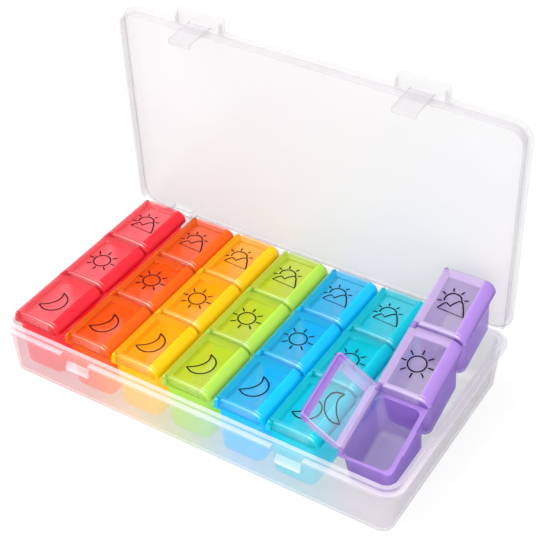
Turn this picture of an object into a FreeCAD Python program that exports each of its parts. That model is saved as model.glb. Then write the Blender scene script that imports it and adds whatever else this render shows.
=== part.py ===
import FreeCAD, Part
import os
from math import atan2, cos, degrees, radians, sin

from FreeCAD import Placement, Rotation, Vector

# Weekly pill organizer: a shallow clear tray with a hinged case lid, holding
# seven coloured day containers of three cups, each cup with its own flip lid.
# Frame: X along the tray, Y to its back, Z up, origin at the middle of its base.
# The purple container stands tilted, with its front lid and the case lid open.

os.makedirs("parts", exist_ok=True)

OVERRUN = 5.0  # how far every cut reaches past what it cuts

# Tray
rim_height = 30.0
end_room = 1.94  # between the outer containers' flanges and the base's ends
side_room = 2.7  # between the flanges' ends and the base's long sides
end_lean = 2.05  # how far each end wall leans out from the base to the rim
side_lean = 1.5
base_corner_radius = 6.0
rim_corner_radius = 8.0
base_edge_radius = 2.0
tray_wall = 1.3
rim_wall = 2.3
tray_floor = 1.6
ledge_end_reach = 2.3  # how far the ledge stands out from the rim
ledge_side_reach = 2.5
ledge_thickness = 1.3
ledge_drop = 1.7  # from the rim's top down to the ledge
ledge_corner_radius = 9.5

# Catches on the front wall and the gaps in the ledge above them
catch_places = (-62.1, 56.3)
catch_width = 13.0
catch_height = 4.9
catch_drop = 11.3  # from the rim's top down to the catch
catch_reach = 2.1
ledge_gap_width = 16.5

# Containers and their cups
container_colours = ("red", "orange", "yellow", "green", "blue", "teal", "purple")
container_gaps = (6.05, 2.6, 4.0, 3.9, 3.0, 12.11)  # between flanges, left to right
flanges_middle = 0.68  # the middle between the first flange's left and the last one's right
container_shift = 0.8  # how far towards the back the containers stand
row_names = ("front", "middle", "back")
row_pitch = 37.4
cup_left_inset = 0.3  # from the flange's left side to the cup's
cup_right_inset = 1.0
cup_row_gap = 1.4  # between two cups of a container
cup_side_draft = 0.6  # how far a cup's side leans in from the top to the bottom
cup_end_draft = 1.8
cup_wall = 1.0
cup_floor = 1.2
cup_corner_radius = 4.2
cup_bottom_radius = 3.6
flange_half_width = 12.6
flange_trim = 0.5  # from the end of the last row to the flange's end
flange_thickness = 1.0
flange_above_rim = 0.6
flange_corner_radius = 2.5
upstand_thickness = 1.0
upstand_height = 1.8
snap_length = 13.0
snap_radius = 0.45

# Flip lid hinge, along the container's left side
lid_axis_inset = 0.6  # from the flange's left side
lid_axis_above_flange = 3.4
barrel_radius = 1.3
pin_radius = 0.75
pin_clearance = 0.05
pin_reach = 1.3
lug_thickness = 1.4
lug_inset = 0.35  # from the end of a row to its outer lug face
lug_radius = 1.3
lug_gap = 0.3  # between a lug and the barrel or the lid's end wall

# Flip lid shell
lid_gap = 0.6  # between two lids in a row of three
lid_wall = 1.1
lid_rise = 5.2  # from the flange's top to the lid's crown
lid_shoulder_drop = 0.3  # the plateau's edges lie this far below its crown
lid_left_inset = 2.3  # from the flange's sides
plateau_inset = 4.3
lid_overhang = 1.2
lid_slope_inset = 0.5
lid_slope_drop = 1.75
lid_edge_drop = 3.9
lid_above_flange = 0.3
lid_corner_radius = 3.0
window_left_inset = 4.1
window_right_inset = 5.0
window_front_inset = 3.0
window_back_inset = 5.5
window_depth = 0.25
window_corner_radius = 1.2
open_lid_angle = 138.0

# Tilt of the raised container, about a line along its front
raised_clear = 1.409  # how much further than the rim's height its back end is raised
tilt_axis_ahead = 11.65  # from the base's front side to the line
tilt_axis_above_rim = 0.89
tilt_axis_slope = 5.38  # degrees that the line rises towards the right

# Case lid, drawn closed and then swung open
case_lid_end_inset = 1.75  # from the ledge's ends to the lid's
case_lid_side_inset = 0.6
case_lid_wall = 1.1
case_lid_rise = 7.2  # from the rim's top to the closed lid's top
case_lid_corner_radius = 10.0
skirt_inset = 1.2
skirt_depth = 6.9
rear_skirt_depth = 3.0
rear_skirt_lead = 2.9  # how far before the hinge line the low skirt starts
case_lid_angle = 86.7

# Case lid hinge
case_axis_inset = 3.4  # from the ledge's back edge to the hinge line
case_axis_above_rim = 2.25
case_hinge_inset = 28.0  # from the ledge's ends to the middle of a hinge
case_barrel_radius = 1.5
case_barrel_length = 12.0
case_pin_radius = 0.9
case_pin_clearance = 0.05
case_pin_reach = 3.0
case_lug_thickness = 3.6
case_lug_gap = 0.3

# Latch tabs on the case lid's front edge
tab_width = 27.0
tab_reach = 7.3
tab_corner_radius = 2.5
tab_root = 3.0
tab_rib_depth = 3.0
tab_rib_thickness = 1.1
tongue_width = 12.0
tongue_thickness = 1.3
tongue_gap = 0.3
tongue_below_catch = 1.7
barb_height = 1.2
barb_reach = 1.5

# Levels and places that follow from the sizes above
flange_length = len(row_names) * row_pitch - 2 * flange_trim
cup_length = row_pitch - cup_row_gap
flanges_length = sum(container_gaps) + 2 * flange_half_width * len(container_colours)
first_place = flanges_middle - flanges_length / 2 + flange_half_width
container_places = [
    first_place + sum(container_gaps[:index]) + 2 * flange_half_width * index
    for index in range(len(container_colours))
]
base_length = 2 * (container_places[-1] + flange_half_width + end_room)
base_width = flange_length + 2 * side_room
rim_length = base_length + 2 * end_lean
rim_width = base_width + 2 * side_lean
ledge_length = rim_length + 2 * ledge_end_reach
ledge_width = rim_width + 2 * ledge_side_reach
ledge_top = rim_height - ledge_drop
catch_bottom = rim_height - catch_drop
flange_top = rim_height + flange_above_rim
lid_crown = flange_top + lid_rise
lid_axis_z = flange_top + lid_axis_above_flange
lid_bottom = flange_top + lid_above_flange
lid_length = row_pitch - lid_gap
barrel_end = row_pitch / 2 - lug_inset - lug_thickness - lug_gap
row_places = (-row_pitch, 0, row_pitch)
cup_left = flange_half_width - cup_left_inset
cup_right = flange_half_width - cup_right_inset
lid_axis_left = flange_half_width - lid_axis_inset
lid_left = flange_half_width - lid_left_inset
plateau_right = flange_half_width - plateau_inset
lid_right = flange_half_width + lid_overhang
lid_slope_middle = flange_half_width - lid_slope_inset
window_left = flange_half_width - window_left_inset
window_right = flange_half_width - window_right_inset
tilt_axis_y = -base_width / 2 - tilt_axis_ahead
tilt_axis_z = rim_height + tilt_axis_above_rim
tilt_reach = container_shift + flange_length / 2 - tilt_axis_y
tilt_angle = degrees(atan2(rim_height + raised_clear, tilt_reach))
case_lid_length = ledge_length - 2 * case_lid_end_inset
case_lid_width = ledge_width - 2 * case_lid_side_inset
case_lid_top = rim_height + case_lid_rise
case_axis_y = ledge_width / 2 - case_axis_inset
case_axis_z = rim_height + case_axis_above_rim
rear_skirt_start = case_axis_y - rear_skirt_lead
case_hinge_place = ledge_length / 2 - case_hinge_inset
case_hinge_places = (-case_hinge_place, case_hinge_place)


def box(x_low, x_high, y_low, y_high, z_low, z_high):
    corner = Vector(x_low, y_low, z_low)
    return Part.makeBox(x_high - x_low, y_high - y_low, z_high - z_low, corner)


def rounded_wire(x_low, x_high, y_low, y_high, radius, z):
    """A rectangle with round corners at the level z."""
    k = radius * (1 - cos(radians(45)))
    corners = (
        (x_high - radius, y_low, x_high - k, y_low + k, x_high, y_low + radius),
        (x_high, y_high - radius, x_high - k, y_high - k, x_high - radius, y_high),
        (x_low + radius, y_high, x_low + k, y_high - k, x_low, y_high - radius),
        (x_low, y_low + radius, x_low + k, y_low + k, x_low + radius, y_low),
    )
    edges = []
    for i, (ax, ay, bx, by, cx, cy) in enumerate(corners):
        start = Vector(ax, ay, z)
        end = Vector(cx, cy, z)
        edges.append(Part.Arc(start, Vector(bx, by, z), end).toShape())
        following = corners[(i + 1) % len(corners)]
        edges.append(Part.LineSegment(end, Vector(following[0], following[1], z)).toShape())
    return Part.Wire(edges)


def rounded_block(x_low, x_high, y_low, y_high, radius, z_low, z_high):
    face = Part.Face(rounded_wire(x_low, x_high, y_low, y_high, radius, z_low))
    return face.extrude(Vector(0, 0, z_high - z_low))


def tapered_block(low, high, low_radius, high_radius, z_low, z_high):
    """A block between two rounded rectangles, each given as x and y limits."""
    bottom = rounded_wire(*low, low_radius, z_low)
    top = rounded_wire(*high, high_radius, z_high)
    return Part.makeLoft([bottom, top], True, True)


def centred(length, width):
    return (-length / 2, length / 2, -width / 2, width / 2)


def rod(radius, x, z, y_low, y_high):
    """A round rod along Y."""
    return Part.makeCylinder(radius, y_high - y_low, Vector(x, y_low, z), Vector(0, 1, 0))


def cross_rod(radius, y, z, x_low, x_high):
    """A round rod along X."""
    return Part.makeCylinder(radius, x_high - x_low, Vector(x_low, y, z), Vector(1, 0, 0))


def grown(limits, amount):
    x_low, x_high, y_low, y_high = limits
    return (x_low - amount, x_high + amount, y_low - amount, y_high + amount)


def turned(shape, point, direction, angle):
    """A copy of the shape, turned about a line."""
    copy = shape.copy()
    copy.rotate(point, direction, angle)
    return copy


def tray_shell():
    base = centred(base_length, base_width)
    rim = centred(rim_length, rim_width)
    outside = tapered_block(base, rim, base_corner_radius, rim_corner_radius, 0, rim_height)
    low_edges = [edge for edge in outside.Edges if edge.BoundBox.ZMax < base_edge_radius / 2]
    outside = outside.makeFillet(base_edge_radius, low_edges)
    ledge = rounded_block(
        *centred(ledge_length, ledge_width), ledge_corner_radius,
        ledge_top - ledge_thickness, ledge_top,
    )
    for place in catch_places:
        half = ledge_gap_width / 2
        ledge = ledge.cut(box(
            place - half, place + half, -ledge_width / 2 - OVERRUN, -rim_width / 2,
            ledge_top - ledge_thickness - OVERRUN, ledge_top + OVERRUN,
        ))
    inner_base = grown(base, -tray_wall)
    inner_rim = grown(rim, -rim_wall)
    cavity = tapered_block(
        inner_base, inner_rim, base_corner_radius - tray_wall,
        rim_corner_radius - rim_wall, tray_floor, rim_height,
    )
    mouth = rounded_block(
        *inner_rim, rim_corner_radius - rim_wall, rim_height, rim_height + OVERRUN,
    )
    return outside.fuse(ledge).cut(cavity).cut(mouth)


def wall_face_y(z):
    """Where the front wall's outer face lies at the level z."""
    lean = (rim_width - base_width) / 2
    return -(base_width / 2 + lean * z / rim_height)


def catch(place):
    """A wedge on the front wall: flat below, sloping above."""
    top = catch_bottom + catch_height
    face = wall_face_y(catch_bottom)
    root = face + tray_wall / 2
    half = catch_width / 2
    points = (
        Vector(place - half, root, catch_bottom),
        Vector(place - half, face - catch_reach, catch_bottom),
        Vector(place - half, face - catch_reach, catch_bottom + catch_height / 3),
        Vector(place - half, face, top),
        Vector(place - half, root, top),
    )
    outline = Part.Face(Part.makePolygon(points + points[:1]))
    return outline.extrude(Vector(catch_width, 0, 0))


def case_lug(x_low, x_high):
    """A lug that stands on the back ledge, round about the hinge line."""
    radius = case_barrel_radius
    post = box(
        x_low, x_high, case_axis_y - radius, case_axis_y + radius,
        ledge_top - ledge_thickness / 2, case_axis_z,
    )
    return post.fuse(cross_rod(radius, case_axis_y, case_axis_z, x_low, x_high))


def build_tray():
    tray = tray_shell()
    for place in catch_places:
        tray = tray.fuse(catch(place))
    hole_radius = case_pin_radius + case_pin_clearance
    for place in case_hinge_places:
        inner = case_barrel_length / 2 + case_lug_gap
        outer = inner + case_lug_thickness
        tray = tray.fuse(case_lug(place - outer, place - inner))
        tray = tray.fuse(case_lug(place + inner, place + outer))
        hole = cross_rod(
            hole_radius, case_axis_y, case_axis_z,
            place - outer - OVERRUN, place + outer + OVERRUN,
        )
        tray = tray.cut(hole)
    return tray.removeSplitter()


def case_skirt():
    plate_bottom = case_lid_top - case_lid_wall
    skirt_bottom = case_lid_top - skirt_depth
    outer = grown(centred(case_lid_length, case_lid_width), -skirt_inset)
    outer_radius = case_lid_corner_radius - skirt_inset
    ring = rounded_block(*outer, outer_radius, skirt_bottom, plate_bottom)
    hollow = rounded_block(
        *grown(outer, -case_lid_wall), outer_radius - case_lid_wall,
        skirt_bottom - OVERRUN, plate_bottom,
    )
    notch = box(
        -case_lid_length / 2, case_lid_length / 2,
        rear_skirt_start, case_lid_width / 2 + OVERRUN,
        skirt_bottom - OVERRUN, case_lid_top - rear_skirt_depth,
    )
    return ring.cut(hollow).cut(notch)


def case_barrel(place):
    """The lid's barrel between two lugs, its web to the plate and its pins."""
    half = case_barrel_length / 2
    barrel = cross_rod(case_barrel_radius, case_axis_y, case_axis_z, place - half, place + half)
    web = box(
        place - half, place + half,
        case_axis_y - case_barrel_radius, case_axis_y + case_barrel_radius,
        case_axis_z, case_lid_top - case_lid_wall,
    )
    pins = cross_rod(
        case_pin_radius, case_axis_y, case_axis_z,
        place - half - case_pin_reach, place + half + case_pin_reach,
    )
    return barrel.fuse(web).fuse(pins)


def latch_tab(place):
    """A thumb tab in line with the plate, with a hooked tongue for the catch."""
    front = -case_lid_width / 2
    plate_bottom = case_lid_top - case_lid_wall
    half = tab_width / 2
    lip = rounded_block(
        place - half, place + half, front - tab_reach, front + tab_root,
        tab_corner_radius, plate_bottom, case_lid_top,
    )
    ribs = [
        box(
            place + side - tab_rib_thickness / 2, place + side + tab_rib_thickness / 2,
            front - tab_reach + tab_corner_radius, front + skirt_inset,
            plate_bottom - tab_rib_depth, plate_bottom,
        )
        for side in (tab_rib_thickness - half, half - tab_rib_thickness)
    ]
    catch_face = wall_face_y(catch_bottom) - catch_reach
    inner = catch_face - tongue_gap
    tip = catch_bottom - tongue_below_catch
    tongue = box(
        place - tongue_width / 2, place + tongue_width / 2,
        inner - tongue_thickness, inner, tip, plate_bottom,
    )
    barb = box(
        place - tongue_width / 2, place + tongue_width / 2,
        inner, inner + barb_reach, tip, tip + barb_height,
    )
    tab = lip.fuse(tongue).fuse(barb)
    for rib in ribs:
        tab = tab.fuse(rib)
    return tab


def build_case_lid():
    plate = rounded_block(
        *centred(case_lid_length, case_lid_width), case_lid_corner_radius,
        case_lid_top - case_lid_wall, case_lid_top,
    )
    lid = plate.fuse(case_skirt())
    for place in case_hinge_places:
        lid = lid.fuse(case_barrel(place))
    for place in catch_places:
        lid = lid.fuse(latch_tab(place))
    axis_point = Vector(0, case_axis_y, case_axis_z)
    return turned(lid.removeSplitter(), axis_point, Vector(1, 0, 0), -case_lid_angle)


def cup_solids(y):
    """The outside and the hollow of one cup."""
    half = cup_length / 2
    top = (-cup_left, cup_right, y - half, y + half)
    bottom = (
        cup_side_draft - cup_left, cup_right - cup_side_draft,
        y - half + cup_end_draft, y + half - cup_end_draft,
    )
    low_radius = cup_corner_radius
    outside = tapered_block(bottom, top, low_radius, low_radius, tray_floor, flange_top)
    low_edges = [e for e in outside.Edges if e.BoundBox.ZMax < tray_floor + cup_wall]
    outside = outside.makeFillet(cup_bottom_radius, low_edges)
    hollow_radius = cup_corner_radius - cup_wall
    floor = tray_floor + cup_floor
    hollow = tapered_block(
        grown(bottom, -cup_wall), grown(top, -cup_wall),
        hollow_radius, hollow_radius, floor, flange_top,
    )
    inner_edges = [e for e in hollow.Edges if e.BoundBox.ZMax < floor + cup_wall]
    hollow = hollow.makeFillet(cup_bottom_radius - cup_wall, inner_edges)
    return outside, hollow


def lug_block(y_low, y_high):
    """A lug on the flange's left edge that holds the pins of the flip lids."""
    post = box(
        -lid_axis_left - lug_radius, -lid_axis_left + lug_radius, y_low, y_high,
        flange_top - flange_thickness, lid_axis_z,
    )
    return post.fuse(rod(lug_radius, -lid_axis_left, lid_axis_z, y_low, y_high))


def build_container():
    """One day container at the middle of the tray, standing on its floor."""
    limits = (-flange_half_width, flange_half_width, -flange_length / 2, flange_length / 2)
    flange_bottom = flange_top - flange_thickness
    body = rounded_block(*limits, flange_corner_radius, flange_bottom, flange_top)
    upstand = box(
        -flange_half_width, -flange_half_width + upstand_thickness,
        flange_corner_radius - flange_length / 2, flange_length / 2 - flange_corner_radius,
        flange_bottom, flange_top + upstand_height,
    )
    body = body.fuse(upstand)
    hollows = []
    for y in row_places:
        outside, hollow = cup_solids(y)
        body = body.fuse(outside)
        hollows.append(hollow)
        snap = rod(
            snap_radius, flange_half_width, (flange_bottom + flange_top) / 2,
            y - snap_length / 2, y + snap_length / 2,
        )
        body = body.fuse(snap)
    for hollow in hollows:
        body = body.cut(hollow)
    edges_of_rows = [y - row_pitch / 2 for y in row_places] + [row_places[-1] + row_pitch / 2]
    reach = lug_inset + lug_thickness
    for i, y in enumerate(edges_of_rows):
        y_low = y - reach if i > 0 else y + lug_inset
        y_high = y + reach if i < len(edges_of_rows) - 1 else y - lug_inset
        body = body.fuse(lug_block(y_low, y_high))
    for y in row_places:
        end = row_pitch / 2 - lug_inset - lug_thickness / 2 + pin_reach
        hole = rod(
            pin_radius + pin_clearance, -lid_axis_left, lid_axis_z, y - end, y + end,
        )
        body = body.cut(hole)
    return body.removeSplitter()


def lid_profile(inset):
    """The flip lid's section in XZ, drawn in by the wall for its hollow."""
    top = lid_crown - inset
    shoulder = top - lid_shoulder_drop
    right = lid_right - inset
    bottom = lid_bottom - (OVERRUN if inset else 0)
    left = -lid_left - (OVERRUN if inset else 0)
    plateau_middle = (plateau_right - lid_left) / 2
    edge_z = lid_crown - lid_edge_drop
    points = {
        "low_left": Vector(left, 0, bottom),
        "high_left": Vector(left, 0, shoulder),
        "crown": Vector(plateau_middle, 0, top),
        "shoulder": Vector(plateau_right, 0, shoulder),
        "slope": Vector(lid_slope_middle - inset / 2, 0, lid_crown - lid_slope_drop - inset),
        "edge": Vector(right, 0, edge_z),
        "low_right": Vector(right, 0, bottom),
    }
    edges = [
        Part.LineSegment(points["low_left"], points["high_left"]).toShape(),
        Part.Arc(points["high_left"], points["crown"], points["shoulder"]).toShape(),
        Part.Arc(points["shoulder"], points["slope"], points["edge"]).toShape(),
        Part.LineSegment(points["edge"], points["low_right"]).toShape(),
        Part.LineSegment(points["low_right"], points["low_left"]).toShape(),
    ]
    return Part.Face(Part.Wire(edges))


def lid_block(inset):
    """The lid's section run along Y and rounded at its right corners."""
    half = lid_length / 2 - inset
    face = lid_profile(inset)
    face.translate(Vector(0, -half, 0))
    run = face.extrude(Vector(0, 2 * half, 0))
    plan = rounded_block(
        -lid_right - OVERRUN, lid_right - inset, -half, half, lid_corner_radius - inset,
        lid_bottom - 2 * OVERRUN, lid_crown + OVERRUN,
    )
    return run.common(plan)


def build_flip_lid():
    """One closed flip lid over the middle cup of a container at the tray's middle."""
    shell = lid_block(0).cut(lid_block(lid_wall))
    web = box(
        -lid_axis_left, -lid_left + lid_wall, -barrel_end, barrel_end,
        lid_axis_z, lid_axis_z + barrel_radius,
    )
    web_top = lid_crown - lid_shoulder_drop
    step = box(
        -lid_left, -lid_left + lid_wall, -barrel_end, barrel_end, lid_axis_z, web_top,
    )
    barrel = rod(barrel_radius, -lid_axis_left, lid_axis_z, -barrel_end, barrel_end)
    pin_end = barrel_end + lug_gap + pin_reach
    pins = rod(pin_radius, -lid_axis_left, lid_axis_z, -pin_end, pin_end)
    lid = shell.fuse(web).fuse(step).fuse(barrel).fuse(pins)
    window = rounded_block(
        -window_left, window_right,
        window_front_inset - lid_length / 2, lid_length / 2 - window_back_inset,
        window_corner_radius, lid_crown - lid_shoulder_drop - window_depth, lid_crown + OVERRUN,
    )
    window_floor = lid_block(lid_wall / 2)
    lid = lid.cut(window.cut(window_floor))
    return lid.removeSplitter()


def seat_shift(place):
    return Vector(place, container_shift, 0)


def tilt_line():
    slope = radians(tilt_axis_slope)
    point = Vector(container_places[-1], tilt_axis_y, tilt_axis_z)
    return point, Vector(cos(slope), 0, sin(slope))


def tilted(shape):
    point, direction = tilt_line()
    return turned(shape, point, direction, tilt_angle)


def export(shape, name):
    solids = shape.Solids
    if len(solids) != 1 or not shape.isValid():
        raise ValueError(f"{name} has {len(solids)} solids, valid {shape.isValid()}")
    solids[0].exportStep(f"parts/{name}.step")
    print(name, round(solids[0].Volume), len(solids[0].Faces))


def main():
    export(build_tray(), "case_tray")
    export(build_case_lid(), "case_lid")
    container = build_container()
    flip_lid = build_flip_lid()
    hinge_point = Vector(-lid_axis_left, 0, lid_axis_z)
    opened_lid = turned(flip_lid, hinge_point, Vector(0, 1, 0), -open_lid_angle)
    for colour, place in zip(container_colours, container_places):
        raised = colour == container_colours[-1]
        body = container.copy()
        body.translate(seat_shift(place))
        export(tilted(body) if raised else body, f"container_{colour}")
        for row, y in zip(row_names, row_places):
            is_open = raised and row == row_names[0]
            lid = (opened_lid if is_open else flip_lid).copy()
            lid.translate(seat_shift(place) + Vector(0, y, 0))
            export(tilted(lid) if raised else lid, f"lid_{colour}_{row}")


main()
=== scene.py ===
from math import cos, pi, radians, sin

import bmesh
import bpy
from mathutils import Matrix, Vector


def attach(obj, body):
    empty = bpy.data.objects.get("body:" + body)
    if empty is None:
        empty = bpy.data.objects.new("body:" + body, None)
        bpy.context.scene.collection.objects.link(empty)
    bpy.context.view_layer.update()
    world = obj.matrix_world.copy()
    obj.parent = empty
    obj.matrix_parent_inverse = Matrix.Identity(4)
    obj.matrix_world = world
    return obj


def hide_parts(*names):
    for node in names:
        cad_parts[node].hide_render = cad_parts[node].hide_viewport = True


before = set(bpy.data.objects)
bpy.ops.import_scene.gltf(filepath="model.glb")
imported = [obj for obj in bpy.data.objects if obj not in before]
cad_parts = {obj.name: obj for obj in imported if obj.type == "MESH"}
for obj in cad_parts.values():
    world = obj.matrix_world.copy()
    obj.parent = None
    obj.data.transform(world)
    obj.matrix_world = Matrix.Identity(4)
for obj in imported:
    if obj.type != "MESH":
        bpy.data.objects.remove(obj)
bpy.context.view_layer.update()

# Case tray.
# A shallow tray of frosted clear polypropylene, moulded in one shot, with a
# rolled ledge under its rim, two catches in front and hinge lugs at the back.
mm = 0.001
merge_distance = 1e-6
flat_angle, crease_angle, bevel_angle = radians(0.8), radians(32), radians(35)
tray_edge_radius = 0.35 * mm
tray_clear, tray_edge = (0.79, 0.75, 0.78), (0.84, 0.82, 0.85)
thick_clear, thick_edge = (0.85, 0.82, 0.85), (0.97, 0.95, 0.98)
rim_bottom = 26.9
catch_front, catch_top = -59.9, 24.0
upright = 0.9


def linear(colour):
    """A colour as it shows, turned into the renderer's linear values."""
    return [c / 12.92 if c <= 0.04045 else ((c + 0.055) / 1.055) ** 2.4 for c in colour] + [1.0]


def link(tree, *pairs):
    """Links from an output to an input, one for each pair."""
    for out_socket, in_socket in pairs:
        tree.links.new(out_socket, in_socket)


def add_node(tree, kind, **inputs):
    """A new node with some of its inputs set."""
    node = tree.nodes.new(kind)
    for name, value in inputs.items():
        node.inputs[name.replace("_", " ")].default_value = value
    return node


def colour_mix(tree, **inputs):
    """A node that mixes two colours, with some of its inputs set."""
    node = tree.nodes.new("ShaderNodeMix")
    node.data_type = "RGBA"
    for name, value in inputs.items():
        node.inputs[name].default_value = value
    return node


def shader_group(name, inputs, outputs):
    """An empty shader node group with named sockets, and its two end nodes."""
    group = bpy.data.node_groups.new(name, "ShaderNodeTree")
    for label, kind in inputs:
        group.interface.new_socket(label, in_out="INPUT", socket_type=kind)
    for label in outputs:
        group.interface.new_socket(label, in_out="OUTPUT", socket_type="NodeSocketFloat")
    return group, group.nodes.new("NodeGroupInput"), group.nodes.new("NodeGroupOutput")


def moulding_group():
    """The clouding of the flow and a fine grain, for every moulded plastic here."""
    group, start, end = shader_group(
        "moulded plastic",
        (("Coordinates", "NodeSocketVector"), ("Cloud Scale", "NodeSocketFloat"),
         ("Grain Scale", "NodeSocketFloat")),
        ("Cloud", "Grain"),
    )
    cloud = add_node(group, "ShaderNodeTexNoise", Detail=3.0, Roughness=0.55)
    grain = add_node(group, "ShaderNodeTexNoise", Detail=2.0, Roughness=0.6)
    link(
        group,
        (start.outputs["Coordinates"], cloud.inputs["Vector"]),
        (start.outputs["Cloud Scale"], cloud.inputs["Scale"]),
        (start.outputs["Coordinates"], grain.inputs["Vector"]),
        (start.outputs["Grain Scale"], grain.inputs["Scale"]),
        (cloud.outputs["Fac"], end.inputs["Cloud"]),
        (grain.outputs["Fac"], end.inputs["Grain"]),
    )
    return group


moulding = moulding_group()


def moulded_pattern(tree, cloud_scale, grain_scale):
    """The moulding's pattern, laid on the piece by its own coordinates."""
    place = tree.nodes.new("ShaderNodeTexCoord")
    pattern = tree.nodes.new("ShaderNodeGroup")
    pattern.node_tree = moulding
    pattern.inputs["Cloud Scale"].default_value = cloud_scale
    pattern.inputs["Grain Scale"].default_value = grain_scale
    link(tree, (place.outputs["Object"], pattern.inputs["Coordinates"]))
    return pattern


def ranged(tree, value, low, high):
    """A value between 0 and 1, spread between two limits."""
    node = tree.nodes.new("ShaderNodeMapRange")
    node.inputs["To Min"].default_value = low
    node.inputs["To Max"].default_value = high
    tree.links.new(value, node.inputs["Value"])
    return node.outputs["Result"]


def stepped(tree, value, low, high):
    """A value that goes from 0 to 1 between two limits."""
    node = tree.nodes.new("ShaderNodeMapRange")
    node.inputs["From Min"].default_value = low
    node.inputs["From Max"].default_value = high
    tree.links.new(value, node.inputs["Value"])
    return node.outputs["Result"]


def combined(tree, operation, first, second):
    """Two values brought together, each an output or a plain number."""
    node = tree.nodes.new("ShaderNodeMath")
    node.operation = operation
    for value, socket in ((first, node.inputs[0]), (second, node.inputs[1])):
        if isinstance(value, float):
            socket.default_value = value
        else:
            tree.links.new(value, socket)
    return node.outputs["Value"]


def clear_plastic(name, face, edge, alphas, roughness, gloss=0.5, glow=0.0, painted_glow=0.0):
    """Translucent moulded plastic, denser and in its edge colour where it is seen edge on, with
    a painted glow of its own colour as emission.
    """
    material = bpy.data.materials.new(name)
    material.use_nodes = True
    tree = material.node_tree
    surface = tree.nodes["Principled BSDF"]
    moulded = moulded_pattern(tree, cloud_scale=26.0, grain_scale=900.0)
    facing = add_node(tree, "ShaderNodeLayerWeight", Blend=0.35)
    tint = colour_mix(tree, A=linear(face), B=linear(edge))
    tint.name = "tint"
    shade = colour_mix(tree, Factor=1.0)
    shade.name = "shade"
    shade.blend_type = "MULTIPLY"
    cover = tree.nodes.new("ShaderNodeMapRange")
    cover.name = "cover"
    cover.inputs["To Min"].default_value, cover.inputs["To Max"].default_value = alphas
    bump = add_node(tree, "ShaderNodeBump", Strength=0.06, Distance=0.0002)
    surface.inputs["IOR"].default_value = 1.49
    surface.inputs["Subsurface Weight"].default_value = glow
    # The emission is a painted glow: the plastic shines in its own colour, though it is no lamp.
    surface.inputs["Emission Strength"].default_value = painted_glow
    surface.inputs["Specular IOR Level"].default_value = gloss
    surface.inputs["Subsurface Radius"].default_value = (1.0, 1.0, 1.0)
    surface.inputs["Subsurface Scale"].default_value = 0.004
    link(
        tree,
        (facing.outputs["Facing"], tint.inputs["Factor"]),
        (tint.outputs["Result"], shade.inputs["A"]),
        (ranged(tree, moulded.outputs["Cloud"], 0.9, 1.06), shade.inputs["B"]),
        (shade.outputs["Result"], surface.inputs["Base Color"]),
        (shade.outputs["Result"], surface.inputs["Emission Color"]),
        (ranged(tree, moulded.outputs["Grain"], roughness - 0.04, roughness + 0.04),
         surface.inputs["Roughness"]),
        (facing.outputs["Facing"], cover.inputs["Value"]),
        (cover.outputs["Result"], surface.inputs["Alpha"]),
        (moulded.outputs["Grain"], bump.inputs["Height"]),
        (bump.outputs["Normal"], surface.inputs["Normal"]),
    )
    return material


def smooth_shading(build, sharpest):
    """Smooth faces, with a crease where two of them meet at a sharper angle."""
    for face in build.faces:
        face.smooth = True
    for edge in build.edges:
        edge.smooth = len(edge.link_faces) == 2 and edge.calc_face_angle(0) < sharpest


def new_piece(mesh):
    """A mesh's own object in the scene, with the mesh's name."""
    piece = bpy.data.objects.new(mesh.name, mesh)
    bpy.context.scene.collection.objects.link(piece)
    return piece


def softened(node, name, radius, material, body):
    """A copy of a solid with its sharp edges rounded, which takes the solid's place."""
    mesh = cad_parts[node].data.copy()
    build = bmesh.new()
    build.from_mesh(mesh)
    bmesh.ops.remove_doubles(build, verts=build.verts, dist=merge_distance)
    bmesh.ops.dissolve_limit(
        build, angle_limit=flat_angle, verts=build.verts, edges=build.edges,
    )
    smooth_shading(build, crease_angle)
    build.to_mesh(mesh)
    build.free()
    mesh.name = name
    mesh.materials.clear()
    mesh.materials.append(material)
    piece = new_piece(mesh)
    bevel = piece.modifiers.new("rounded edges", "BEVEL")
    bevel.width = radius
    bevel.segments = 2
    bevel.limit_method = "ANGLE"
    bevel.angle_limit = bevel_angle
    bevel.use_clamp_overlap = True
    bevel.harden_normals = True
    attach(piece, body)
    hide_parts(node)
    return piece


tray_plastic = clear_plastic(
    "frosted tray", tray_clear, tray_edge, alphas=(0.22, 0.55), roughness=0.2,
)
rim_plastic = clear_plastic(
    "thick frosted tray", thick_clear, thick_edge, alphas=(0.14, 0.6), roughness=0.18,
)
catch_plastic = clear_plastic(
    "thick catch", thick_edge, thick_edge, alphas=(0.3, 0.6), roughness=0.2,
)
# The tray's rounded edges and the rim's upward faces get a near-white plastic: the denser
# plastic there, lightened further as a painted highlight.
edge_highlight_plastic = clear_plastic(
    "tray edge highlight", thick_edge, thick_edge, alphas=(0.34, 0.6), roughness=0.15,
)
tray = softened(
    "case_tray", "tray_moulding", tray_edge_radius, tray_plastic, "case_tray",
)
for plastic in (rim_plastic, catch_plastic, edge_highlight_plastic):
    tray.data.materials.append(plastic)
rim_index, catch_index, highlight_index = 1, 2, 3
tray.modifiers["rounded edges"].material = highlight_index
for polygon in tray.data.polygons:
    _, y, z = polygon.center / mm
    if y < catch_front and z < catch_top:
        polygon.material_index = catch_index
    elif z > rim_bottom:
        # Upward faces of the rim take the painted edge highlight.
        polygon.material_index = highlight_index if polygon.normal.z > upright else rim_index

# Day containers.
# Seven strips of three deep cups under one flange, of glossy translucent
# polypropylene, each in its own colour, standing loose on the tray's floor.
cup_edge_radius = 0.3 * mm
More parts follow.
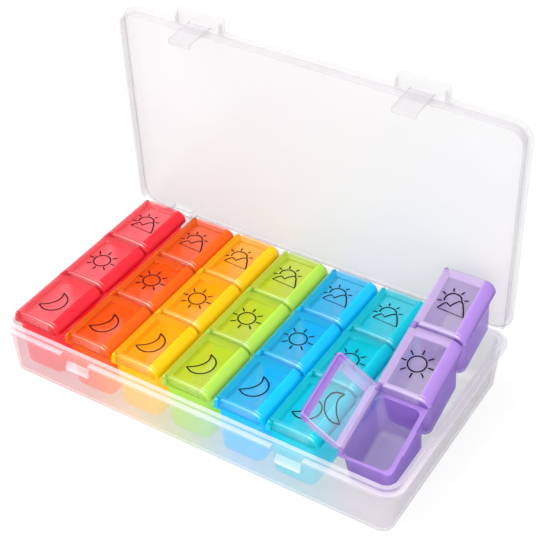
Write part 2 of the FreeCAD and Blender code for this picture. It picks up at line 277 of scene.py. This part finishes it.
# For each day: the colour seen face on, the colour edge on and the lid's window.
day_colours = {
    "red": ((0.89, 0.15, 0.22), (0.84, 0.03, 0.12), (0.93, 0.38, 0.42)),
    "orange": ((0.91, 0.39, 0.0), (0.88, 0.26, 0.0), (0.88, 0.34, 0.02)),
    "yellow": ((0.96, 0.78, 0.0), (0.93, 0.65, 0.0), (0.92, 0.58, 0.0)),
    "green": ((0.70, 0.85, 0.34), (0.57, 0.79, 0.15), (0.78, 0.76, 0.04)),
    "blue": ((0.0, 0.77, 0.98), (0.0, 0.62, 0.93), (0.10, 0.64, 0.70)),
    "teal": ((0.0, 0.80, 0.86), (0.0, 0.68, 0.74), (0.0, 0.76, 0.82)),
    "purple": ((0.70, 0.56, 0.86), (0.44, 0.25, 0.72), (0.94, 0.87, 0.95)),
}
# Each cup's painted glow, an emission that makes it shine as if lit from within; the tilted
# purple one has little.
cup_painted_glow = dict.fromkeys(day_colours, 0.42) | {"purple": 0.06}
window_alphas = dict.fromkeys(day_colours, (0.15, 0.65)) | {"purple": (0.07, 0.28)}
container_places = dict(zip(day_colours, (-90.75, -59.5, -31.7, -2.5, 26.6, 54.8, 92.11)))
container_shift = 0.8
flange_bottom = 29.5
row_pitch = 37.4
hinge_x, hinge_z = -12.0, 34.0
lug_bottom, lug_outside, lug_tip_share = 32.6, 17.9, 0.5
front_wall_inside, front_wall_outside = -54.0 * mm, -57.0 * mm
tray_half_length = 111.0 * mm
# How strongly the cups' coloured light is painted into the tray's front wall.
painted_cup_light_amount = 0.42
tilt_point = Vector((92.11, -69.95, 30.89))
tilt_rise = radians(5.38)
tilt_way = Vector((cos(tilt_rise), 0, sin(tilt_rise)))
tilt_angle = radians(13.96)


def container_place(colour):
    """Where a container made at the tray's middle goes, in millimetres."""
    place = Matrix.Translation((container_places[colour], container_shift, 0))
    if colour != "purple":
        return place
    about = Matrix.Translation(tilt_point)
    return about @ Matrix.Rotation(tilt_angle, 4, tilt_way) @ about.inverted() @ place


def paint_cup_light_on_front_wall(material):
    """Painted light: the cups' colours, as their light would spill into the frosted wall before
    them, painted along the front wall by place.
    """
    tree = material.node_tree
    place = tree.nodes.new("ShaderNodeTexCoord")
    axes = tree.nodes.new("ShaderNodeSeparateXYZ")
    ramp = tree.nodes.new("ShaderNodeValToRGB")
    plain = linear(tray_clear)
    stops = ramp.color_ramp.elements
    for index, (colour, (face, _, _)) in enumerate(day_colours.items()):
        share = (container_places[colour] * mm / tray_half_length + 1) / 2
        stop = stops[0] if index == 0 else stops.new(share)
        stop.position = share
        stop.color = plain if colour == "purple" else linear(face)
    stops.remove(stops[-1])
    painted_cup_light = colour_mix(tree)
    link(tree, (place.outputs["Object"], axes.inputs["Vector"]))
    amount = stepped(tree, axes.outputs["Y"], front_wall_inside, front_wall_outside)
    link(
        tree,
        (stepped(tree, axes.outputs["X"], -tray_half_length, tray_half_length),
         ramp.inputs["Fac"]),
        (combined(tree, "MULTIPLY", amount, painted_cup_light_amount), painted_cup_light.inputs["Factor"]),
        (tree.nodes["tint"].outputs["Result"], painted_cup_light.inputs["A"]),
        (ramp.outputs["Color"], painted_cup_light.inputs["B"]),
        (painted_cup_light.outputs["Result"], tree.nodes["shade"].inputs["A"]),
    )


paint_cup_light_on_front_wall(tray_plastic)
paint_cup_light_on_front_wall(rim_plastic)
for colour, (face, edge, _) in day_colours.items():
    wall_plastic = clear_plastic(
        f"{colour} cup plastic", face, edge, alphas=(0.4, 0.8), roughness=0.14,
        gloss=0.2, glow=0.7, painted_glow=cup_painted_glow[colour],
    )
    flange_plastic = clear_plastic(
        f"{colour} flange plastic", face, edge, alphas=(0.6, 0.92), roughness=0.12,
        gloss=0.3, glow=0.5, painted_glow=0.08,
    )
    piece = softened(
        f"container_{colour}", f"{colour}_container_moulding", cup_edge_radius,
        wall_plastic, f"container_{colour}",
    )
    piece.data.materials.append(flange_plastic)
    place = container_place(colour)
    to_middle = place.inverted()
    for polygon in piece.data.polygons:
        polygon.material_index = int((to_middle @ (polygon.center / mm)).z > flange_bottom)
    for vertex in piece.data.vertices:
        point = to_middle @ (vertex.co / mm)
        from_row = (point.y + row_pitch / 2) % row_pitch - row_pitch / 2
        if point.z > lug_bottom and abs(from_row) > lug_outside:
            point.x = hinge_x + (point.x - hinge_x) * lug_tip_share
            point.z = min(point.z, hinge_z + (point.z - hinge_z) * lug_tip_share)
            vertex.co = place @ point * mm

# Flip lids.
# A shallow cap over each cup, of the same plastic as its container, with a
# sunk window on its crown and a slope to its free edge, turning on short pins.
rows = {"front": -row_pitch, "middle": 0.0, "back": row_pitch}
lid_bottom = 30.9
lid_crown = 35.8
lid_outer = (-10.3, 13.8, -18.4, 18.4)
lid_shell = 1.1
shoulder_x, shoulder_z, edge_z = 8.3, 35.5, 31.9
lid_window = (-8.5, 7.6, -15.4, 12.9)
window_floor = 35.25
window_middle = -1.25
# Along these two lines of each lid's front margin a painted highlight is laid, fading towards
# the hinge.
outer_highlight_line, inner_highlight_line = -17.2, -15.5
painted_highlight_amount, border_amount, border_shade, dense_alpha = 0.5, 0.7, 0.82, 0.85
barrel_radius, barrel_half, pin_radius, pin_half = 1.3, 16.65, 0.75, 17.6
barrel_sides = 20
web_height, web_rise = 1.3, 0.65
straight_fall = 0.3
corner_steps, side_steps = 6, 10
lid_crease_angle = radians(50)
open_angle = radians(138)


def crown(x):
    """How high the lid's outside stands at a place across the container."""
    if x <= shoulder_x:
        middle = (shoulder_x + lid_outer[0]) / 2
        return lid_crown - (lid_crown - shoulder_z) * ((x - middle) / (shoulder_x - middle)) ** 2
    run = (x - shoulder_x) / (lid_outer[1] - shoulder_x)
    fall = straight_fall * run + (1 - straight_fall) * run ** 2
    return shoulder_z - (shoulder_z - edge_z) * fall


def lid_outline(limits, right_radius, left_radius):
    """Points round a rectangle with round corners, and along its sides."""
    x_low, x_high, y_low, y_high = limits
    corners = (
        (x_high - right_radius, y_low + right_radius, right_radius, 270),
        (x_high - right_radius, y_high - right_radius, right_radius, 0),
        (x_low + left_radius, y_high - left_radius, left_radius, 90),
        (x_low + left_radius, y_low + left_radius, left_radius, 180),
    )
    points = []
    for i, (x, y, radius, start) in enumerate(corners):
        for step in range(corner_steps + 1):
            angle = radians(start + 90 / corner_steps * step)
            points.append(Vector((x + radius * cos(angle), y + radius * sin(angle))))
        next_x, next_y, next_radius, next_start = corners[(i + 1) % 4]
        angle = radians(next_start)
        end = Vector((next_x + next_radius * cos(angle), next_y + next_radius * sin(angle)))
        last = points[-1]
        points += [last.lerp(end, step / side_steps) for step in range(1, side_steps)]
    return points


def drawn_in(limits, amount):
    """A rectangle's limits, moved inwards on all four sides."""
    x_low, x_high, y_low, y_high = limits
    return (x_low + amount, x_high - amount, y_low + amount, y_high - amount)


def between(first, second, share, right):
    """Limits part of the way from one rectangle to another, with a given right side."""
    mixed = [a + (b - a) * share for a, b in zip(first, second)]
    mixed[1] = right
    return tuple(mixed)


def add_ring(build, outline, height):
    """The points of one outline, each at the height of the lid's surface there."""
    return [build.verts.new((p.x, p.y, height(p.x))) for p in outline]


def join_rings(build, rings):
    """Faces from each ring of points to the next, and one over the last ring."""
    for outer, inner in zip(rings, rings[1:]):
        for k in range(len(outer)):
            n = (k + 1) % len(outer)
            build.faces.new((outer[k], outer[n], inner[n], inner[k]))
    build.faces.new(rings[-1])


def lid_mesh():
    """A closed flip lid over the middle cup of a container at the tray's middle.

    A ring is a rectangle's limits, its corner radii on the right and the left, and its
    height. The outside runs from the lip up and in to the window, the inside likewise.
    """
    build = bmesh.new()
    sill = drawn_in(lid_window, -0.45)
    top_edge = drawn_in(lid_outer, 1.3)
    outside = [
        (lid_outer, 3.0, 0.6, lambda x: lid_bottom),
        (lid_outer, 3.0, 0.6, lambda x: max(lid_bottom + 0.2, crown(x) - 1.5)),
        (drawn_in(lid_outer, 0.1), 2.9, 0.6, lambda x: max(lid_bottom + 0.4, crown(x) - 1.0)),
        (drawn_in(lid_outer, 0.35), 2.7, 0.6, lambda x: crown(x) - 0.52),
        (drawn_in(lid_outer, 0.75), 2.5, 0.5, lambda x: crown(x) - 0.18),
        (top_edge, 2.3, 0.5, crown),
        (between(top_edge, sill, 0.3, 11.5), 2.0, 0.6, crown),
        (between(top_edge, sill, 0.6, 10.0), 1.8, 0.8, crown),
        (between(top_edge, sill, 0.85, 8.7), 1.5, 1.0, crown),
        (sill, 1.3, 1.3, crown),
        (drawn_in(lid_window, -0.15), 1.2, 1.2, lambda x: crown(x) - 0.08),
        (lid_window, 1.2, 1.2, lambda x: window_floor + 0.12),
        (drawn_in(lid_window, 0.22), 1.1, 1.1, lambda x: window_floor),
    ]
    inner_wall = drawn_in(lid_outer, lid_shell)
    inside = [
        (inner_wall, 1.9, 0.4, lambda x: lid_bottom),
        (inner_wall, 1.9, 0.4, lambda x: max(lid_bottom + 0.1, crown(x) - lid_shell - 0.6)),
        (drawn_in(inner_wall, 0.5), 1.5, 0.4, lambda x: crown(x) - lid_shell),
        (between(drawn_in(inner_wall, 0.5), lid_window, 0.5, 9.8), 1.3, 0.8,
         lambda x: crown(x) - lid_shell),
        (lid_window, 1.2, 1.2, lambda x: crown(x) - lid_shell),
    ]
    outer_rings = [add_ring(build, lid_outline(*ring[:3]), ring[3]) for ring in outside]
    inner_rings = [add_ring(build, lid_outline(*ring[:3]), ring[3]) for ring in inside]
    join_rings(build, outer_rings)
    join_rings(build, inner_rings)
    lip, root = outer_rings[0], inner_rings[0]
    for k in range(len(lip)):
        n = (k + 1) % len(lip)
        build.faces.new((lip[n], lip[k], root[k], root[n]))
    bmesh.ops.recalc_face_normals(build, faces=build.faces)
    for radius, half in ((barrel_radius, barrel_half), (pin_radius, pin_half)):
        bmesh.ops.create_cone(
            build, cap_ends=True, segments=barrel_sides, radius1=radius, radius2=radius,
            depth=2 * half,
            matrix=Matrix.Translation((hinge_x, 0, hinge_z)) @ Matrix.Rotation(pi / 2, 4, "X"),
        )
    web_end = lid_outer[0] + lid_shell
    web = Matrix.Translation(((hinge_x + web_end) / 2, 0, hinge_z + web_rise))
    web @= Matrix.Diagonal((web_end - hinge_x, 2 * barrel_half, web_height, 1.0))
    bmesh.ops.create_cube(build, size=1.0, matrix=web)
    smooth_shading(build, lid_crease_angle)
    mesh = bpy.data.meshes.new("lid")
    build.to_mesh(mesh)
    build.free()
    made_at = mesh.attributes.new("made at", "FLOAT_VECTOR", "POINT")
    for vertex, value in zip(mesh.vertices, made_at.data):
        value.vector = vertex.co
    return mesh


def lid_place(colour, row):
    """Where a flip lid made over the middle cup goes, from millimetres to metres."""
    place = container_place(colour) @ Matrix.Translation((0, rows[row], 0))
    if (colour, row) == ("purple", "front"):
        pin = Matrix.Translation((hinge_x, 0, hinge_z))
        place = place @ pin @ Matrix.Rotation(-open_angle, 4, "Y") @ pin.inverted()
    return Matrix.Diagonal((mm, mm, mm, 1.0)) @ place


def distance_from(tree, value, middle):
    """How far a value is from a middle one, on either side."""
    return combined(tree, "ABSOLUTE", combined(tree, "SUBTRACT", value, middle), 0.0)


def zones_group():
    """Where a lid is thick, and where a painted highlight lies along the two ridges of its front
    margin.
    """
    group, start, end = shader_group(
        "lid zones", (("Made At", "NodeSocketVector"),), ("Dense", "Painted Highlight", "Border"),
    )
    axes = group.nodes.new("ShaderNodeSeparateXYZ")
    link(group, (start.outputs["Made At"], axes.inputs["Vector"]))
    x, y = axes.outputs["X"], axes.outputs["Y"]
    slope = stepped(group, x, lid_window[1], lid_window[1] + 0.6)
    left = stepped(group, x, lid_window[0] + 0.1, lid_window[0] - 0.3)
    ends = stepped(group, distance_from(group, y, window_middle), 14.0, 14.4)
    margin = combined(group, "MULTIPLY", combined(group, "MAXIMUM", left, ends), 0.5)
    dense = combined(group, "MAXIMUM", slope, margin)
    outer = stepped(group, distance_from(group, y, outer_highlight_line), 0.5, 0.15)
    inner = stepped(group, distance_from(group, y, inner_highlight_line), 0.4, 0.1)
    painted_highlight = combined(group, "MAXIMUM", outer, combined(group, "MULTIPLY", inner, 0.6))
    fade = combined(
        group, "MULTIPLY", stepped(group, x, -18.0, 8.0), stepped(group, x, 11.5, 9.0),
    )
    sides = stepped(group, distance_from(group, y, 0.0), 17.75, 18.15)
    border = combined(group, "MAXIMUM", sides, stepped(group, x, 13.1, 13.6))
    link(
        group,
        (dense, end.inputs["Dense"]),
        (border, end.inputs["Border"]),
        (combined(group, "MULTIPLY", painted_highlight, fade), end.inputs["Painted Highlight"]),
    )
    return group


lid_zones = zones_group()


def lid_plastic(name, face, edge, window, alphas):
    """The lid's plastic, clearest over the window and densest on the slope, with a painted
    highlight along its front margin.
    """
    material = clear_plastic(
        name, face, edge, alphas, roughness=0.08, gloss=0.3, glow=0.5, painted_glow=0.1,
    )
    tree = material.node_tree
    surface = tree.nodes["Principled BSDF"]
    made_at = tree.nodes.new("ShaderNodeAttribute")
    made_at.attribute_name = "made at"
    zones = tree.nodes.new("ShaderNodeGroup")
    zones.node_tree = lid_zones
    body = colour_mix(tree, A=linear(window))
    rim = colour_mix(tree, B=linear([border_shade * value for value in edge]))
    # White mixed into the colour along the front margin: a painted highlight.
    light = colour_mix(tree, B=(1.0, 1.0, 1.0, 1.0))
    link(
        tree,
        (made_at.outputs["Vector"], zones.inputs["Made At"]),
        (zones.outputs["Dense"], body.inputs["Factor"]),
        (tree.nodes["tint"].outputs["Result"], body.inputs["B"]),
        (combined(tree, "MULTIPLY", zones.outputs["Painted Highlight"], painted_highlight_amount),
         light.inputs["Factor"]),
        (combined(tree, "MULTIPLY", zones.outputs["Border"], border_amount),
         rim.inputs["Factor"]),
        (body.outputs["Result"], rim.inputs["A"]),
        (rim.outputs["Result"], light.inputs["A"]),
        (light.outputs["Result"], tree.nodes["shade"].inputs["A"]),
        (combined(
            tree, "MAXIMUM", tree.nodes["cover"].outputs["Result"],
            combined(tree, "MULTIPLY", zones.outputs["Dense"], dense_alpha),
        ), surface.inputs["Alpha"]),
    )
    return material


lid_pattern = lid_mesh()
for colour, (face, edge, window) in day_colours.items():
    plastic = lid_plastic(f"{colour} lid plastic", face, edge, window, window_alphas[colour])
    for row in rows:
        mesh = lid_pattern.copy()
        mesh.name = f"{colour}_{row}_lid"
        mesh.transform(lid_place(colour, row))
        mesh.materials.append(plastic)
        piece = new_piece(mesh)
        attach(piece, f"lid_{colour}_{row}")
        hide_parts(f"lid_{colour}_{row}")

# Sun and moon marks.
# A thin dark line print on every lid's window: a crescent on the front row,
# a sun on the middle one and a sun behind two hills on the back one.
stroke = 0.72
print_depth = 0.06
ink = bpy.data.materials.new("print ink")
ink.use_nodes = True
tree = ink.node_tree
surface = tree.nodes["Principled BSDF"]
surface.inputs["Specular IOR Level"].default_value = 0.12
moulded = moulded_pattern(tree, cloud_scale=400.0, grain_scale=2500.0)
shade = colour_mix(tree, A=linear((0.015, 0.01, 0.015)), B=linear((0.05, 0.03, 0.045)))
link(
    tree,
    (moulded.outputs["Cloud"], shade.inputs["Factor"]),
    (shade.outputs["Result"], surface.inputs["Base Color"]),
    (ranged(tree, moulded.outputs["Grain"], 0.6, 0.8), surface.inputs["Roughness"]),
)


def tree_with(name, *inputs):
    """An empty geometry tree with named inputs, and its two end nodes."""
    tree = bpy.data.node_groups.new(name, "GeometryNodeTree")
    tree.interface.new_socket("Geometry", in_out="INPUT", socket_type="NodeSocketGeometry")
    for label, kind, value in inputs:
        socket = tree.interface.new_socket(label, in_out="INPUT", socket_type=kind)
        if value is not None:
            socket.default_value = value
    tree.interface.new_socket("Geometry", in_out="OUTPUT", socket_type="NodeSocketGeometry")
    return tree, tree.nodes.new("NodeGroupInput"), tree.nodes.new("NodeGroupOutput")


def finish_tree(tree, start, end, geometry):
    """The tree's last nodes, which make one inked mesh of its geometry."""
    realize = tree.nodes.new("GeometryNodeRealizeInstances")
    paint = tree.nodes.new("GeometryNodeSetMaterial")
    link(
        tree,
        (geometry, realize.inputs["Geometry"]),
        (realize.outputs["Geometry"], paint.inputs["Geometry"]),
        (start.outputs["Ink"], paint.inputs["Material"]),
        (paint.outputs["Geometry"], end.inputs["Geometry"]),
    )


def swept_line(tree, start, curve):
    """A curve swept to a line with the stroke's width and depth."""
    profile = tree.nodes.new("GeometryNodeCurvePrimitiveQuadrilateral")
    sweep = tree.nodes.new("GeometryNodeCurveToMesh")
    sweep.inputs["Fill Caps"].default_value = True
    link(
        tree,
        (start.outputs["Stroke"], profile.inputs["Width"]),
        (start.outputs["Depth"], profile.inputs["Height"]),
        (curve, sweep.inputs["Curve"]),
        (profile.outputs["Curve"], sweep.inputs["Profile Curve"]),
    )
    return sweep.outputs["Mesh"]


line_tree, start, end = tree_with(
    "printed line",
    ("Stroke", "NodeSocketFloat", stroke), ("Depth", "NodeSocketFloat", print_depth),
    ("Ink", "NodeSocketMaterial", None),
)
finish_tree(line_tree, start, end, swept_line(line_tree, start, start.outputs["Geometry"]))

sun_tree, start, end = tree_with(
    "sun with rays",
    ("Disc Radius", "NodeSocketFloat", 4.35), ("Disc Start", "NodeSocketFloat", 0.0),
    ("Disc Sweep", "NodeSocketFloat", 2 * pi), ("Ray Middle", "NodeSocketFloat", 6.75),
    ("Ray Length", "NodeSocketFloat", 2.8), ("Rays", "NodeSocketInt", 8),
    ("First Ray", "NodeSocketFloat", 0.0), ("Ray Step", "NodeSocketFloat", pi / 4),
    ("Stroke", "NodeSocketFloat", stroke), ("Depth", "NodeSocketFloat", print_depth),
    ("Ink", "NodeSocketMaterial", None),
)
disc = sun_tree.nodes.new("GeometryNodeCurveArc")
disc.inputs["Resolution"].default_value = 48
ray_points = sun_tree.nodes.new("GeometryNodePoints")
number = sun_tree.nodes.new("GeometryNodeInputIndex")
turn = sun_tree.nodes.new("ShaderNodeMath")
turn.operation = "MULTIPLY_ADD"
out = sun_tree.nodes.new("ShaderNodeCombineXYZ")
spin = sun_tree.nodes.new("ShaderNodeCombineXYZ")
placed = sun_tree.nodes.new("ShaderNodeVectorRotate")
placed.rotation_type = "Z_AXIS"
moved = sun_tree.nodes.new("GeometryNodeSetPosition")
ray = sun_tree.nodes.new("GeometryNodeMeshCube")
ray_size = sun_tree.nodes.new("ShaderNodeCombineXYZ")
rays = sun_tree.nodes.new("GeometryNodeInstanceOnPoints")
both = sun_tree.nodes.new("GeometryNodeJoinGeometry")
link(
    sun_tree,
    (start.outputs["Disc Radius"], disc.inputs["Radius"]),
    (start.outputs["Disc Start"], disc.inputs["Start Angle"]),
    (start.outputs["Disc Sweep"], disc.inputs["Sweep Angle"]),
    (start.outputs["Rays"], ray_points.inputs["Count"]),
    (number.outputs["Index"], turn.inputs[0]),
    (start.outputs["Ray Step"], turn.inputs[1]),
    (start.outputs["First Ray"], turn.inputs[2]),
    (start.outputs["Ray Middle"], out.inputs["X"]),
    (out.outputs["Vector"], placed.inputs["Vector"]),
    (turn.outputs["Value"], placed.inputs["Angle"]),
    (turn.outputs["Value"], spin.inputs["Z"]),
    (ray_points.outputs["Points"], moved.inputs["Geometry"]),
    (placed.outputs["Vector"], moved.inputs["Position"]),
    (start.outputs["Ray Length"], ray_size.inputs["X"]),
    (start.outputs["Stroke"], ray_size.inputs["Y"]),
    (start.outputs["Depth"], ray_size.inputs["Z"]),
    (ray_size.outputs["Vector"], ray.inputs["Size"]),
    (moved.outputs["Geometry"], rays.inputs["Points"]),
    (ray.outputs["Mesh"], rays.inputs["Instance"]),
    (spin.outputs["Vector"], rays.inputs["Rotation"]),
    (rays.outputs["Instances"], both.inputs["Geometry"]),
    (swept_line(sun_tree, start, disc.outputs["Curve"]), both.inputs["Geometry"]),
)
finish_tree(sun_tree, start, end, both.outputs["Geometry"])


def made_by(tree, data, **values):
    """The mesh that a tree makes from some start data, with its inputs set."""
    holder = bpy.data.objects.new("drawing", data)
    bpy.context.scene.collection.objects.link(holder)
    maker = holder.modifiers.new(tree.name, "NODES")
    maker.node_group = tree
    sockets = {item.name: item.identifier for item in tree.interface.items_tree
               if item.in_out == "INPUT"}
    maker[sockets["Ink"]] = ink
    for label, value in values.items():
        maker[sockets[label.replace("_", " ")]] = value
    graph = bpy.context.evaluated_depsgraph_get()
    mesh = bpy.data.meshes.new_from_object(holder.evaluated_get(graph))
    bpy.data.objects.remove(holder)
    return mesh


def drawn_line(points, closed):
    """A smooth line through points, with a corner where a point is a VECTOR one."""
    curve = bpy.data.curves.new("line", "CURVE")
    curve.dimensions = "3D"
    curve.resolution_u = 10
    curve.twist_mode = "Z_UP"
    spline = curve.splines.new("BEZIER")
    spline.bezier_points.add(len(points) - 1)
    spline.use_cyclic_u = closed
    for knot, (x, y, kind) in zip(spline.bezier_points, points):
        knot.co = (x, y, 0)
        knot.handle_left_type = knot.handle_right_type = kind
    return made_by(line_tree, curve)


def together(*meshes):
    """Several meshes as one inked mark."""
    build = bmesh.new()
    for mesh in meshes:
        build.from_mesh(mesh)
    mesh = bpy.data.meshes.new("mark")
    build.to_mesh(mesh)
    build.free()
    mesh.materials.append(ink)
    return mesh


# The marks' points are in millimetres from the middle of the lid's cup.
moon_mark = together(drawn_line((
    (-6.3, -7.3, "VECTOR"), (-2.4, -8.9, "AUTO"), (1.8, -7.9, "AUTO"), (4.5, -4.8, "AUTO"),
    (5.0, -0.5, "AUTO"), (3.2, 3.2, "AUTO"), (-1.0, 5.7, "VECTOR"), (0.2, 1.6, "AUTO"),
    (-1.9, -3.6, "AUTO"),
), True))
sun_mark = together(made_by(sun_tree, bpy.data.meshes.new("none")))
sun_mark.transform(Matrix.Translation((-0.7, -0.9, 0)))
hill_lines = drawn_line((
    (-5.9, -5.7, "VECTOR"), (-4.4, -2.6, "AUTO"), (-3.2, -1.3, "VECTOR"), (-0.9, -2.7, "VECTOR"),
    (0.7, 0.1, "AUTO"), (2.7, 1.6, "AUTO"), (5.3, -1.7, "AUTO"), (7.3, -6.4, "VECTOR"),
), True)
dawn = made_by(
    sun_tree, bpy.data.meshes.new("none"), Disc_Radius=4.1, Disc_Start=radians(16),
    Disc_Sweep=radians(184), Rays=5, First_Ray=radians(20), Ray_Step=radians(45),
    Ray_Middle=6.2, Ray_Length=2.1,
)
dawn.transform(Matrix.Translation((-1.0, 0.9, 0)))
dawn_mark = together(hill_lines, dawn)
marks = {"front": moon_mark, "middle": sun_mark, "back": dawn_mark}
lift = Matrix.Translation((0, 0, window_floor + print_depth / 2))
for colour in day_colours:
    for row, pattern in marks.items():
        mesh = pattern.copy()
        mesh.name = f"{colour}_{row}_mark"
        mesh.transform(lid_place(colour, row) @ lift)
        piece = new_piece(mesh)
        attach(piece, f"lid_{colour}_{row}")

# Case lid.
# A thin clear polypropylene cover with a low skirt and two latch tabs, which
# turns on two barrels at the back of the tray and stands open here.
case_clear, case_edge = (0.85, 0.835, 0.845), (0.70, 0.69, 0.71)
case_plastic = clear_plastic(
    "case lid plastic", case_clear, case_edge, alphas=(0.2, 0.6), roughness=0.18,
)
softened("case_lid", "case_lid_moulding", tray_edge_radius, case_plastic, "case_lid")

# Floor, light and camera.
# A white table that shows only the soft shadow, two wide lamps and the view
# that the photograph was taken from.
reach = 6.0
glow_share = 0.72
table = bpy.data.meshes.new("table")
table.from_pydata(
    [(-reach, -reach, 0), (reach, -reach, 0), (reach, reach, 0), (-reach, reach, 0)],
    [], [(0, 1, 2, 3)],
)
table_piece = new_piece(table)
table_white = bpy.data.materials.new("white table")
table_white.use_nodes = True
tree = table_white.node_tree
surface = tree.nodes["Principled BSDF"]
surface.inputs["Base Color"].default_value = (0.9, 0.9, 0.9, 1.0)
surface.inputs["Roughness"].default_value = 0.9
surface.inputs["Specular IOR Level"].default_value = 0.0
glow = add_node(tree, "ShaderNodeEmission", Strength=1.08)
path = tree.nodes.new("ShaderNodeLightPath")
seen = combined(
    tree, "MAXIMUM", path.outputs["Is Camera Ray"], path.outputs["Is Transmission Ray"],
)
both = tree.nodes.new("ShaderNodeMixShader")
link(
    tree,
    (combined(tree, "MULTIPLY", seen, glow_share), both.inputs["Fac"]),
    (surface.outputs["BSDF"], both.inputs[1]),
    (glow.outputs["Emission"], both.inputs[2]),
    (both.outputs["Shader"], tree.nodes["Material Output"].inputs["Surface"]),
)
table.materials.append(table_white)

world = bpy.data.worlds.new("studio")
bpy.context.scene.world = world
world.use_nodes = True
tree = world.node_tree
studio = tree.nodes["Background"]
studio.inputs["Color"].default_value = (1.0, 1.0, 1.0, 1.0)
path = tree.nodes.new("ShaderNodeLightPath")
link(
    tree,
    (ranged(tree, path.outputs["Is Camera Ray"], 0.75, 1.0), studio.inputs["Strength"]),
)


def lamp(name, place, aim, size, power):
    """A wide lamp at a place, turned to the point that it aims at."""
    light = bpy.data.lights.new(name, "AREA")
    light.shape = "RECTANGLE"
    light.size, light.size_y = size
    light.energy = power
    holder = bpy.data.objects.new(name, light)
    holder.location = place
    holder.rotation_euler = (Vector(aim) - Vector(place)).to_track_quat("-Z", "Y").to_euler()
    bpy.context.scene.collection.objects.link(holder)


lamp("overhead_lamp", place=(-0.45, -0.2, 1.05), aim=(0, 0, 0), size=(0.3, 0.6), power=10.0)
lamp("side_lamp", place=(0.5, -1.1, 0.5), aim=(0, 0, 0.02), size=(0.9, 0.5), power=6.5)

view = bpy.data.cameras.new("view")
view.sensor_width = 36.0
view.lens = 88.714
camera = bpy.data.objects.new("view", view)
camera.location = (0.266939, -0.411485, 0.459174)
camera.rotation_euler = (radians(51.3245), radians(0.4413), radians(31.5927))
bpy.context.scene.collection.objects.link(camera)
bpy.context.scene.camera = camera
bpy.context.scene.view_settings.view_transform = "Standard"
